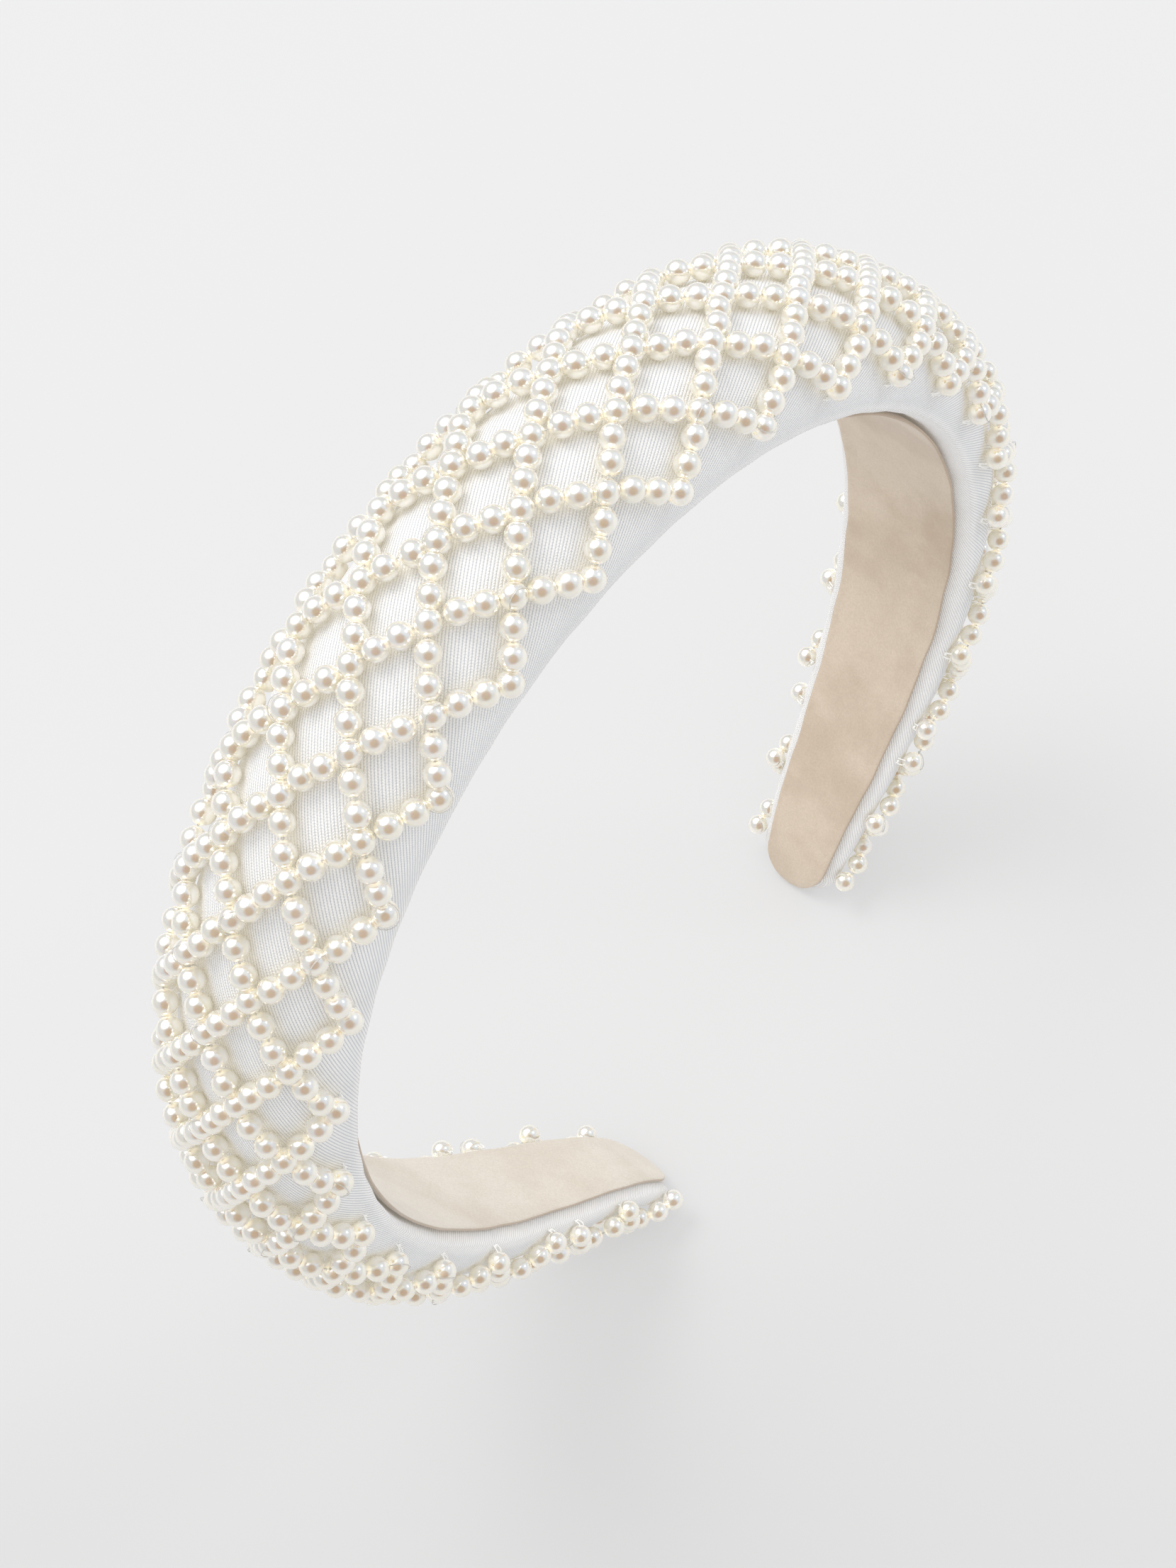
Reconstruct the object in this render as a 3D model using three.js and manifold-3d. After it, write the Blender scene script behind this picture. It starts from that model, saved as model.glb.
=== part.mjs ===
// A padded headband with a net of pearls, in millimetres, standing on its two tips.
// X runs from the left tip to the right tip, Y across the width of the band, Z up.
// A place on the band is s, the distance along the inner face from the crown (positive towards
// the left tip), y across the band, and h, the height above the inner face.
import * as THREE from 'three';
import { mergeVertices } from 'three/addons/utils/BufferGeometryUtils.js';
import Module from 'manifold-3d';

const wasm = await Module();
wasm.setup();

// The bend of the inner face, as curvature in 1/mm. It turns outwards again before the tips, and
// the relaxed band is slightly skewed: one tip stands in front of the other.
const HALF_LENGTH = 171.7;
const CROWN_CURVATURE = 0.0177;
const TIP_FLARE = 2.79;
const SKEW = 5.7;
const PATH_STEPS = 600;

// The padded section, at the crown and at the tips
const CROWN_WIDTH = 23.4;
const TIP_WIDTH = 12.2;
const WIDTH_TAPER = 3.1;
const CROWN_HEIGHT = 12.7;
const TIP_HEIGHT = 4.6;
const HEIGHT_TAPER = 1.5;
const WIDEST_LEVEL = 2.3;
const SECTION_ROUNDNESS = 2.35;
const UNDERSIDE_FLATNESS = 0.6;
const SECTION_POINTS = 16;
const TIP_ROUNDING = 6;
const TIP_STATIONS = [0.42, 0.75, 0.93, 1];
const TIP_BLUNTNESS = 0.12;
const TIP_RISE = 0.55;
const TIP_END_HEIGHT = WIDEST_LEVEL + (TIP_HEIGHT - WIDEST_LEVEL) * TIP_RISE;
const FLOOR_TRIM = 1.0;

// The layers, from the inner face outwards
const CROWN_LINING = 19.4;
const TIP_LINING = 9.5;
const LINING_TAPER = 2.9;
const LINING_BLUNTNESS = 0.2;
const LINING_THICKNESS = 0.6;
const CLEARANCE = 0.3;
const FABRIC = 0.5;
const FLANGE_DEPTH = 4.5;
const LEAST_SLOT = 2;
const CORE_THICKNESS = 1.2;
const CORE_INSET = 2.6;
const CORE_BLUNTNESS = 0.3;
const SOLID_END = 3;
const FOAM_END = 0.8;

// The net: three pearl pitches to a side of each diamond, six strands side by side
const PEARL_RADIUS = 1.4;
const THREAD_RADIUS = 0.22;
const PITCH = 3.06;
const PEARLS_PER_SIDE = 3;
const STRANDS = 6;
const NET_COVERAGE = 0.757;
const COVERAGE_GAIN = 0.3;
const NET_SHIFT = 0.5;
const NARROWING_STARTS = 0.74;
const NARROWING_ENDS = 0.84;
const ROW_SPREAD = 1.1;
const NET_STOPS = 2;
const EDGE_DROP = 0.9;
const DROP_STARTS = 0.55;
const DROP_ENDS = 0.8;
const CURVE_STEPS = 60;
const CHORD_SHARE = 0.985;
const BYPASS = 1.04 * (PEARL_RADIUS + THREAD_RADIUS + CLEARANCE);

const MIDDLE_ROW = STRANDS / 2;
const SIDE = PEARLS_PER_SIDE * PITCH * CHORD_SHARE;
const PEARL_LIFT = PEARL_RADIUS + CLEARANCE;
const FLANGE_LEVEL = LINING_THICKNESS + CLEARANCE;
const CORE_LEVEL = FLANGE_LEVEL + FABRIC + CLEARANCE;
const FOAM_LEVEL = CORE_LEVEL + CORE_THICKNESS + CLEARANCE;

const clamp = THREE.MathUtils.clamp;
const lerp = THREE.MathUtils.lerp;
const smoothstep = THREE.MathUtils.smoothstep;

// How far a place is towards the tips: -1 at the right tip, 1 at the left tip
const towardsTip = (s) => clamp(s / HALF_LENGTH, -1, 1);

// The rounded outline of the tips: 1 along the band, falling to 0 at the very end
function tipRound(s, end = HALF_LENGTH) {
  const past = Math.abs(s) - (end - TIP_ROUNDING);
  return past <= 0 ? 1 : Math.sqrt(Math.max(0, 1 - (past / TIP_ROUNDING) ** 2));
}

function bandWidth(s) {
  return lerp(CROWN_WIDTH, TIP_WIDTH, Math.abs(towardsTip(s)) ** WIDTH_TAPER);
}

function bandHeight(s) {
  const share = (1 - towardsTip(s) ** 4) ** HEIGHT_TAPER;
  return lerp(TIP_HEIGHT, CROWN_HEIGHT, share);
}

function liningWidth(s) {
  return lerp(CROWN_LINING, TIP_LINING, Math.abs(towardsTip(s)) ** LINING_TAPER);
}

const curvature = (s) => CROWN_CURVATURE * (1 - TIP_FLARE * towardsTip(s) ** 6);

// The inner face as a curve in X and Z from the right tip to the left one, with its turning
// angle, raised until the floor only trims the outer corners of the tips
function bandPath() {
  const step = HALF_LENGTH / PATH_STEPS;
  const leg = [{ x: 0, z: 0, turn: 0 }];
  for (let i = 0; i < PATH_STEPS; i++) {
    const last = leg[i];
    const bend = step * curvature(step * (i + 0.5));
    const heading = last.turn + bend / 2;
    leg.push({
      x: last.x - step * Math.cos(heading),
      z: last.z - step * Math.sin(heading),
      turn: last.turn + bend,
    });
  }
  const tip = leg[PATH_STEPS];
  const rise = FLOOR_TRIM + tip.z + TIP_END_HEIGHT * Math.cos(tip.turn);
  const left = leg.map((p) => ({ ...p, z: p.z - rise }));
  const right = left.slice(1).map((p) => ({ x: -p.x, z: p.z, turn: -p.turn }));
  return [...right.reverse(), ...left];
}

const PATH = bandPath();

// The point of the solid at distance s along the band, y across it and h above its inner face
function place(s, y, h) {
  const at = clamp((s / HALF_LENGTH + 1) * PATH_STEPS, 0, PATH.length - 1);
  const below = Math.min(Math.floor(at), PATH.length - 2);
  const a = PATH[below];
  const b = PATH[below + 1];
  const share = at - below;
  const turn = lerp(a.turn, b.turn, share);
  const x = lerp(a.x, b.x, share) - h * Math.sin(turn);
  const z = lerp(a.z, b.z, share) + h * Math.cos(turn);
  return new THREE.Vector3(x, y - SKEW * towardsTip(s) ** 3, z);
}

// A power that keeps the sign, for superellipses
const signedPower = (value, power) => Math.sign(value) * Math.abs(value) ** power;

// The closed D of the padded section as [y, h] points, shrunk inwards by inset
function paddedSection(s, inset, end = HALF_LENGTH) {
  const round = Math.max(tipRound(s, end), TIP_BLUNTNESS);
  const half = (bandWidth(s) / 2 - inset) * round;
  const rise = lerp(TIP_RISE, 1, round);
  const top = (bandHeight(s) - WIDEST_LEVEL - inset) * rise;
  const drop = (WIDEST_LEVEL - FLANGE_LEVEL - inset) * rise;
  const power = 2 / SECTION_ROUNDNESS;
  return Array.from({ length: SECTION_POINTS }, (_, i) => {
    const angle = (i / SECTION_POINTS) * 2 * Math.PI;
    const above = angle < Math.PI;
    const y = half * signedPower(Math.cos(angle), power);
    const lift = signedPower(Math.sin(angle), above ? power : power * UNDERSIDE_FLATNESS);
    return [y, WIDEST_LEVEL + lift * (above ? top : drop)];
  });
}

// A rectangle of the section as [y, h] points
const flatSection = (width, low, high) => [
  [width / 2, low],
  [width / 2, high],
  [-width / 2, high],
  [-width / 2, low],
];

// Distances along the band for a loft that stops at end, closer together where the tips are round
function stations(end, count = 15) {
  const straight = end - TIP_ROUNDING;
  const steps = Array.from({ length: count }, (_, i) => (straight * i) / (count - 1));
  const tip = TIP_STATIONS.map((share) => straight + TIP_ROUNDING * share);
  const half = [...steps, ...tip];
  return [...half.slice(1).reverse().map((s) => -s), ...half];
}

// A solid through one section at each station, closed at both ends
function loft(stops, sectionAt) {
  const rings = stops.map((s) => sectionAt(s).map(([y, h]) => place(s, y, h)));
  const count = rings[0].length;
  const vertices = rings.flat();
  const faces = [];
  for (let r = 0; r + 1 < rings.length; r++) {
    for (let i = 0; i < count; i++) {
      const a = r * count + i;
      const b = r * count + ((i + 1) % count);
      faces.push(a, a + count, b, b, a + count, b + count);
    }
  }
  const last = (rings.length - 1) * count;
  for (let i = 1; i + 1 < count; i++) {
    faces.push(0, i, i + 1);
    faces.push(last, last + i + 1, last + i);
  }
  return solidFrom(vertices, faces);
}

// A manifold solid from a list of points and a flat list of corners
function solidFrom(vertices, faces) {
  const geometry = new THREE.BufferGeometry().setFromPoints(vertices);
  geometry.setIndex(faces);
  return solidOf(geometry);
}

// A manifold solid from a closed geometry, its faces turned outwards
function solidOf(geometry) {
  geometry.deleteAttribute('normal');
  geometry.deleteAttribute('uv');
  const merged = mergeVertices(geometry, 1e-4);
  const make = (triVerts) =>
    new wasm.Manifold(
      new wasm.Mesh({
        numProp: 3,
        vertProperties: merged.attributes.position.array,
        triVerts,
      }),
    );
  const corners = Uint32Array.from(merged.index.array);
  const solid = make(corners);
  return solid.volume() > 0 ? solid : make(corners.reverse());
}

// A named mesh of one solid
function mesh(name, solid, color, roughness) {
  const { numProp, vertProperties, triVerts } = solid.getMesh();
  const points = [];
  for (let i = 0; i < vertProperties.length; i += numProp) {
    points.push(new THREE.Vector3(...vertProperties.subarray(i, i + 3)));
  }
  const geometry = new THREE.BufferGeometry().setFromPoints(points);
  geometry.setIndex(Array.from(triVerts));
  const flat = geometry.toNonIndexed();
  flat.computeVertexNormals();
  const material = new THREE.MeshStandardMaterial({ color, roughness, metalness: 0 });
  const made = new THREE.Mesh(flat, material);
  made.name = name;
  return made;
}

// The thin plastic horseshoe that gives the band its spring
function bandCore() {
  const end = HALF_LENGTH - SOLID_END - CLEARANCE;
  return loft(stations(end), (s) => {
    const width = (bandWidth(s) - 2 * CORE_INSET) * Math.max(tipRound(s, end), CORE_BLUNTNESS);
    return flatSection(width, CORE_LEVEL, CORE_LEVEL + CORE_THICKNESS);
  });
}

// The foam on the outer face of the core, which thins out before the tips
function foamPad() {
  const end = HALF_LENGTH * FOAM_END;
  const inset = FABRIC + 2 * CLEARANCE;
  const above = loft(stations(end), (s) => paddedSection(s, inset, end));
  const below = loft([-end - 1, ...stations(end), end + 1], (s) =>
    flatSection(2 * CROWN_WIDTH, -CROWN_HEIGHT, FOAM_LEVEL),
  );
  return above.subtract(below);
}

// The knitted cover: wrapped round the foam and the core, with a slot left on its inner face
function cover() {
  const inside = HALF_LENGTH - SOLID_END;
  const outer = loft(stations(HALF_LENGTH), (s) => paddedSection(s, 0));
  const hollow = loft(stations(inside), (s) => paddedSection(s, FABRIC, inside));
  const slot = loft(stations(inside - FLANGE_DEPTH), (s) => {
    const width = Math.max(liningWidth(s) - 2 * FLANGE_DEPTH, LEAST_SLOT);
    return flatSection(width, 0, CORE_LEVEL);
  });
  const size = 2 * HALF_LENGTH;
  const floor = new THREE.BoxGeometry(size, size, size).translate(0, 0, -size / 2);
  return outer.subtract(hollow).subtract(slot).subtract(solidOf(floor));
}

// The suede strip glued over the turned-in edges of the cover
function lining() {
  const end = HALF_LENGTH - CLEARANCE - FLOOR_TRIM;
  return loft(stations(end), (s) => {
    const width = liningWidth(s) * Math.max(tipRound(s, end), LINING_BLUNTNESS);
    return flatSection(width, 0, LINING_THICKNESS);
  });
}

// The curve that pearl centres lie on over the section at s: points from the top down one side,
// with the distance walked so far
function pearlCurve(s) {
  const round = Math.max(tipRound(s), TIP_BLUNTNESS);
  const half = (bandWidth(s) / 2) * round + PEARL_LIFT;
  const top = (bandHeight(s) - WIDEST_LEVEL) * lerp(TIP_RISE, 1, round) + PEARL_LIFT;
  const power = 2 / SECTION_ROUNDNESS;
  const curve = [];
  let walked = 0;
  for (let i = 0; i <= CURVE_STEPS; i++) {
    const angle = (i / CURVE_STEPS) * (Math.PI / 2);
    const y = half * Math.sin(angle) ** power;
    const h = WIDEST_LEVEL + top * Math.max(Math.cos(angle), 0) ** power;
    const last = curve[i - 1];
    walked += last ? Math.hypot(y - last.y, h - last.h) : 0;
    curve.push({ y, h, walked });
  }
  curve.push({ y: half, h: WIDEST_LEVEL - EDGE_DROP, walked: walked + EDGE_DROP });
  return curve;
}

// The pearl centre at distance s along the band and a signed distance over the section
function pearlAt(s, over) {
  const curve = pearlCurve(s);
  const far = Math.min(Math.abs(over), curve[curve.length - 1].walked);
  const next = Math.max(1, curve.findIndex((point) => point.walked >= far));
  const a = curve[next - 1];
  const b = curve[next];
  const share = (far - a.walked) / (b.walked - a.walked);
  return place(s, Math.sign(over) * lerp(a.y, b.y, share), lerp(a.h, b.h, share));
}

// How far the edge of the net lies from the middle of the section. On the legs it drops below
// the widest level.
function netReach(s) {
  const curve = pearlCurve(s);
  const quarter = curve[CURVE_STEPS].walked;
  const coverage = Math.min(1, NET_COVERAGE + COVERAGE_GAIN * towardsTip(s) ** 2);
  const dropped = smoothstep(Math.abs(towardsTip(s)), DROP_STARTS, DROP_ENDS);
  return quarter * coverage + EDGE_DROP * dropped;
}

// Rows of diamonds on each side of the middle: three along the band, two near the tips
function rowsAside(s) {
  const u = Math.abs(towardsTip(s));
  return lerp(MIDDLE_ROW, MIDDLE_ROW - 1, smoothstep(u, NARROWING_STARTS, NARROWING_ENDS));
}

// Places along the band where the diamonds have their corners, half a diamond apart
function cornerPlaces() {
  const places = [NET_SHIFT];
  for (const way of [-1, 1]) {
    let s = NET_SHIFT;
    while (Math.abs(s) < HALF_LENGTH - NET_STOPS) {
      const across = netReach(s) / rowsAside(s);
      const along = Math.sqrt(SIDE ** 2 - across ** 2);
      s += (way * along) / (1 + curvature(s) * (bandHeight(s) + THREAD_RADIUS));
      if (Math.abs(s) < HALF_LENGTH - NET_STOPS) {
        places[way < 0 ? 'unshift' : 'push'](s);
      }
    }
  }
  return places;
}

const CORNERS = cornerPlaces();
const CROWN_CORNER = CORNERS.indexOf(NET_SHIFT);

// The distance over the section of row number row at place s
function rowOver(s, row) {
  const share = Math.abs(row - MIDDLE_ROW) / rowsAside(s);
  return Math.sign(row - MIDDLE_ROW) * netReach(s) * Math.min(share, 1) ** ROW_SPREAD;
}

// Whether the net is wide enough at corner number i to hold that strand
function hasStrand(i, strand) {
  const farthest = Math.max(Math.abs(strand - MIDDLE_ROW), Math.abs(strand + 1 - MIDDLE_ROW));
  return i < CORNERS.length && farthest <= Math.round(rowsAside(CORNERS[i]));
}

// One strand zigzags between two rows, down to the last pearl that clears the floor. It holds the
// corner pearls of its outer row and passes beside those that it shares with the strand before it,
// so that each pearl is in one strand only.
function strandStops(strand) {
  const stops = [];
  const corner = (i) => {
    const odd = Math.abs(i - CROWN_CORNER) % 2;
    const row = strand % 2 === odd ? strand : strand + 1;
    const s = CORNERS[i];
    return { s, over: rowOver(s, row), held: row > strand || !hasStrand(i, strand - 1) };
  };
  for (let i = 0; i < CORNERS.length; i++) {
    const here = corner(i);
    if (!hasStrand(i, strand)) {
      continue;
    }
    stops.push(here);
    if (hasStrand(i + 1, strand)) {
      const next = corner(i + 1);
      for (let pearl = 1; pearl < PEARLS_PER_SIDE; pearl++) {
        const share = pearl / PEARLS_PER_SIDE;
        stops.push({
          s: lerp(here.s, next.s, share),
          over: lerp(here.over, next.over, share),
          held: true,
        });
      }
    }
  }
  const ends = (stop) => !stop.held || pearlAt(stop.s, stop.over).z < PEARL_LIFT;
  while (stops.length && ends(stops[0])) {
    stops.shift();
  }
  while (stops.length && ends(stops[stops.length - 1])) {
    stops.pop();
  }
  return stops;
}

// A beaded strand as one solid: a square tube that swells into a pearl at each stop
function strandSolid(strand) {
  const beads = strandStops(strand).map((stop) => {
    const centre = pearlAt(stop.s, stop.held ? stop.over : stop.over + BYPASS);
    const out = centre.clone().sub(place(stop.s, 0, WIDEST_LEVEL)).normalize();
    return { centre, out, radius: stop.held ? PEARL_RADIUS : THREAD_RADIUS };
  });
  const rings = [];
  beads.forEach((bead, i) => {
    if (i > 0) {
      const last = beads[i - 1];
      const gap = bead.centre.clone().sub(last.centre);
      const length = gap.length();
      const from = last.radius > THREAD_RADIUS ? PITCH / 2 : length - PITCH / 2;
      const neck = last.centre.clone().addScaledVector(gap, from / length);
      rings.push({ centre: neck, out: last.out, radius: THREAD_RADIUS });
    }
    rings.push(bead);
  });
  const first = rings[0];
  const last = rings[rings.length - 1];
  const knot = (end, inner) => {
    const outward = end.centre.clone().sub(inner.centre).normalize();
    const centre = end.centre.clone().addScaledVector(outward, PEARL_RADIUS);
    return { ...end, centre, radius: THREAD_RADIUS };
  };
  rings.unshift(knot(first, rings[1]));
  rings.push(knot(last, rings[rings.length - 2]));
  return squareTube(rings);
}

// A closed tube of square section through rings of a centre, a direction out and a radius
function squareTube(rings) {
  const vertices = [];
  const faces = [];
  rings.forEach((ring, r) => {
    const before = rings[Math.max(r - 1, 0)].centre;
    const after = rings[Math.min(r + 1, rings.length - 1)].centre;
    const along = after.clone().sub(before).normalize();
    const across = along.clone().cross(ring.out).normalize();
    const up = across.clone().cross(along);
    for (const [a, b] of [[1, 0], [0, 1], [-1, 0], [0, -1]]) {
      const point = ring.centre.clone();
      point.addScaledVector(across, a * ring.radius).addScaledVector(up, b * ring.radius);
      vertices.push(point);
    }
    if (r > 0) {
      for (let i = 0; i < 4; i++) {
        const a = (r - 1) * 4 + i;
        const b = (r - 1) * 4 + ((i + 1) % 4);
        faces.push(a, b, a + 4, b, b + 4, a + 4);
      }
    }
  });
  const end = vertices.length - 4;
  faces.push(0, 2, 1, 0, 3, 2, end, end + 1, end + 2, end, end + 2, end + 3);
  return solidFrom(vertices, faces);
}

const headband = new THREE.Group();
headband.add(mesh('band_core', bandCore(), 0xd8d4c8, 0.45));
headband.add(mesh('foam_pad', foamPad(), 0xf0ead6, 0.95));
headband.add(mesh('knit_cover', cover(), 0xecebe8, 0.85));
headband.add(mesh('suede_lining', lining(), 0xd0bda2, 0.95));
for (let strand = 0; strand < STRANDS; strand++) {
  headband.add(mesh(`pearl_strand_${strand + 1}`, strandSolid(strand), 0xf1ecdf, 0.2));
}
const extent = new THREE.Box3().setFromObject(headband);
headband.position.x = -(extent.min.x + extent.max.x) / 2;
headband.position.y = -(extent.min.y + extent.max.y) / 2;

const root = new THREE.Group();
root.add(headband);
export default root;
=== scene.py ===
"""The looks of a padded headband: knitted cover, suede lining and a net of small pearls.

Lengths are in millimetres until a mesh is made, which is in metres. A place on the band is s, the
distance along its inner face from the crown (positive towards the left tip), y across it and h
above its inner face. A place over its padded section is also a distance walked from the top.
"""
import math

import bpy
import numpy as np
from mathutils import Matrix, Vector
from mathutils.kdtree import KDTree


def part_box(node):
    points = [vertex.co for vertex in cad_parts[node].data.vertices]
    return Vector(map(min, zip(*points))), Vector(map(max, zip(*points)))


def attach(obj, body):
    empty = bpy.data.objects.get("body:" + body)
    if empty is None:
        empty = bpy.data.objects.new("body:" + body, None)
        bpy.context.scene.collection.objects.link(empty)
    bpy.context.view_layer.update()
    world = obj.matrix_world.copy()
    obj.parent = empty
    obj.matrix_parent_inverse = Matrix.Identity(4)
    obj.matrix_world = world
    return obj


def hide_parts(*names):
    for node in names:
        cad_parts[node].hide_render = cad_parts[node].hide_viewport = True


MM = 0.001

# The bend of the inner face, and its skew from tip to tip
HALF_LENGTH = 171.7
CROWN_CURVATURE = 0.0177
TIP_FLARE = 2.79
SKEW = 5.7
PATH_STEPS = 600

# The padded section
CROWN_WIDTH = 23.4
TIP_WIDTH = 12.2
WIDTH_TAPER = 3.1
CROWN_HEIGHT = 12.7
TIP_HEIGHT = 4.6
HEIGHT_TAPER = 1.5
WIDEST_LEVEL = 2.3
SECTION_ROUNDNESS = 2.35
UNDERSIDE_FLATNESS = 0.6
TIP_ROUNDING = 6.0
TIP_BLUNTING = 1.6
TIP_RISE = 0.55
TIP_END_HEIGHT = WIDEST_LEVEL + (TIP_HEIGHT - WIDEST_LEVEL) * TIP_RISE
FLOOR_TRIM = 1.0

# The layers: levels are heights above the inner face
CROWN_LINING = 19.4
TIP_LINING = 9.5
LINING_TAPER = 2.9
LINING_THICKNESS = 0.6
COVER_UNDERSIDE = 0.65
FABRIC = 0.45
FLANGE_DEPTH = 4.5
LEAST_SLOT = 0.6
FOAM_LEVEL = 3.5
FOAM_END = 0.8
FOAM_INSET = 1.1
LEAST_ROUND = 0.04

# The net: three pearl pitches to a side of each diamond, six strands side by side
PEARL_RADIUS = 1.5
PEARL_LIFT = 1.7
PEARL_SINK = 0.15
BORE_RADIUS = 0.18
THREAD_RADIUS = 0.12
PITCH = 3.06
PEARLS_PER_SIDE = 3
STRANDS = 6
MIDDLE_ROW = STRANDS / 2
CHORD_SHARE = 0.985
SIDE = PEARLS_PER_SIDE * PITCH * CHORD_SHARE
NET_COVERAGE = 0.757
COVERAGE_GAIN = 0.3
NET_SHIFT = 0.5
NARROWING_STARTS = 0.74
NARROWING_ENDS = 0.84
ROW_SPREAD = 1.1
NET_STOPS = 2.0
EDGE_DROP = 0.9
DROP_STARTS = 0.55
DROP_ENDS = 0.8
LINE_LEVEL = 0.22
LEAST_NET_ROUND = 0.12
HAND_STRUNG = (0.09, 0.09, 0.03)
SIZE_SPREAD = 0.012
TIED_SHARE = 0.4
TACK_REACH = 1.7
LAST_TACK = HALF_LENGTH - 14

# The knit's relief
CLOTH_SCALE = 50
CLOTH_STEPS = 20
SWELL_CAP = 0.42
HELD_BESIDE = 0.9
HELD_LEVEL = 1.7
HELD_TIP = 12
DENT = 0.1
DENT_REACH = 0.8
PLEAT = 0.04
PLEATS_ROUND = 8
PLEAT_REACH = 2.6
DIMPLE = 0.14
DIMPLE_REACH = 0.9
# the most painted shade, on the knit where it turns under
TURNED_SHADE = 0.22

# How fine the pieces are: stations along the straight and round each tip, and points across
COARSE_KNIT = (206, 7, 40)
FINE_KNIT = (411, 14, 84)
SUEDE_FINENESS = (360, 12, 64)
FOAM_FINENESS = (240, 8, 48)
OUTLINE_POINTS = 721
CURVE_POINTS = 61
PEARL_SEGMENTS = 24
PEARL_RINGS = 14
LINE_SIDES = 8
FINE_LINE_SIDES = 6

# The jersey's stitches
WALE_BIAS = 34
WALE_PITCH = 0.68
COURSE_PITCH = 0.27

# The camera, and the light round the band, where a _SIDE is a direction from the band
CAMERA_AIM = (0.04, 7.64, 69.5)
CAMERA_DISTANCE = 325.8
CAMERA_HEADING = 28.15
CAMERA_ELEVATION = 60.04
CAMERA_ROLL = 24.46
CAMERA_LENS = 58.81
ROOM_COLOUR = (0.93, 0.93, 0.935)
ROOM_STRENGTH = 1.02
WINDOW_SIDE = (0.05, 0.42, 0.91)
WINDOW_COLOUR = (1.35, 1.34, 1.32)
MIRRORED_ROOM = (0.51, 0.52, 0.56)
MIRRORED_WINDOW = (1.95, 1.95, 2.05)
WARM_SIDE = (-0.44, -0.67, 0.59)
WARM_COLOUR = (0.36, 0.19, 0.07)
SKY_SIDE = (0.70, -0.48, 0.53)
SKY_COLOUR = (0.62, 0.68, 0.80)

# What fades in over the room between two angles, in degrees, from its direction
LIT_PATCHES = ((WINDOW_SIDE, WINDOW_COLOUR, 53, 14),)
MIRRORED_PATCHES = ((SKY_SIDE, SKY_COLOUR, 50, 20),
                    (WARM_SIDE, WARM_COLOUR, 46, 24),
                    (WINDOW_SIDE, MIRRORED_WINDOW, 38, 26))

# The windows that shine: distance, width and height in metres, power and colour
MAIN_WINDOW = (1.2, 0.5, 0.6, 3.3, (1.0, 0.99, 0.975))
SIDE_WINDOW = (1.3, 0.2, 0.24, 0.9, (0.95, 0.98, 1.0))

# The floor, in millimetres, and where it darkens, in metres
FLOOR_HALF = 2500
FLOOR_LINES = 21
DIM_SIDE = (-0.83, -0.56)
DIM_BY = 0.13


def smoothstep(x, low, high):
    """0 below low, 1 above high and an S-curve between."""
    share = np.clip((x - low) / (high - low), 0, 1)
    return share * share * (3 - 2 * share)


def lerp(a, b, share):
    return a + (b - a) * share


def towards_tip(s):
    """How far a place is towards the tips: -1 at the right tip, 1 at the left tip."""
    return np.clip(np.asarray(s, float) / HALF_LENGTH, -1, 1)


def tip_round(s, end=HALF_LENGTH):
    """The rounded outline of the tips: 1 along the band, falling to 0 at the very end."""
    past = np.clip((np.abs(s) - (end - TIP_ROUNDING)) / TIP_ROUNDING, 0, 1)
    return np.sqrt(1 - past**2)


def band_width(s):
    return lerp(CROWN_WIDTH, TIP_WIDTH, np.abs(towards_tip(s)) ** WIDTH_TAPER)


def band_height(s):
    return lerp(TIP_HEIGHT, CROWN_HEIGHT, (1 - towards_tip(s) ** 4) ** HEIGHT_TAPER)


def lining_width(s):
    return lerp(CROWN_LINING, TIP_LINING, np.abs(towards_tip(s)) ** LINING_TAPER)


def curvature(s):
    return CROWN_CURVATURE * (1 - TIP_FLARE * towards_tip(s) ** 6)


def band_path():
    """The inner face from the right tip to the left one as s, x, z and turning angle."""
    step = HALF_LENGTH / PATH_STEPS
    bend = step * curvature((np.arange(PATH_STEPS) + 0.5) * step)
    turn = np.concatenate([[0], np.cumsum(bend)])
    heading = turn[:-1] + bend / 2
    x = np.concatenate([[0], -np.cumsum(step * np.cos(heading))])
    z = np.concatenate([[0], -np.cumsum(step * np.sin(heading))])
    z -= FLOOR_TRIM + z[-1] + TIP_END_HEIGHT * math.cos(turn[-1])
    s = np.arange(PATH_STEPS + 1) * step
    halves = ((s, -1), (x, -1), (z, 1), (turn, -1))
    return [np.concatenate([sign * half[:0:-1], half]) for half, sign in halves]


PATH_S, PATH_X, PATH_Z, PATH_TURN = band_path()


def place(s, y, h, shift):
    """Points of the band, in millimetres, at s along it, y across it and h above its inner face."""
    s, y, h = np.broadcast_arrays(*(np.asarray(v, float) for v in (s, y, h)))
    turn = np.interp(s, PATH_S, PATH_TURN)
    x = np.interp(s, PATH_S, PATH_X) - h * np.sin(turn)
    z = np.interp(s, PATH_S, PATH_Z) + h * np.cos(turn)
    across = y - SKEW * towards_tip(s) ** 3
    return np.stack([x + shift[0], across + shift[1], z], axis=-1)


# ---------------------------------------------------------------- meshes


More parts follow.
